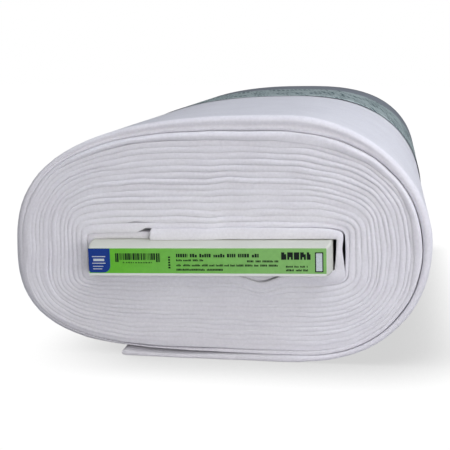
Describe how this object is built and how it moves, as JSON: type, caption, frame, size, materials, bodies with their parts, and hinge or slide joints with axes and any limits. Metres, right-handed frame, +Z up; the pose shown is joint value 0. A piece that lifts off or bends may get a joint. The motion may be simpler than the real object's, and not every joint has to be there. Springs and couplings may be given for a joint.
{
  "type": "roll of fusible fleece on a cardboard board",
  "caption": "White folded fleece wound flat on a cardboard board, one loose end under the roll, with an end label and a clear printed strip round the far half.",
  "frame": {"origin": "middle of the bounding box in X and Y, on the surface the roll rests on", "axes": "+Z up, +Y along the roll from its labelled end to its far end, +X across the roll, to the right when the label is seen from the front"},
  "size_m": [0.3776, 0.6032, 0.224],
  "materials": {
    "white_fleece": "matt, soft needled fibre, slightly bluish white",
    "white_card": "white paper-faced cardboard, smooth and matt",
    "green_label_paper": "printed paper, slight sheen",
    "printed_clear_film": null
  },
  "bodies": {
    "root": {"fleece_roll": "white_fleece", "board": "white_card", "end_label": "green_label_paper", "instruction_strip": "printed_clear_film"}
  },
  "joints": []
}
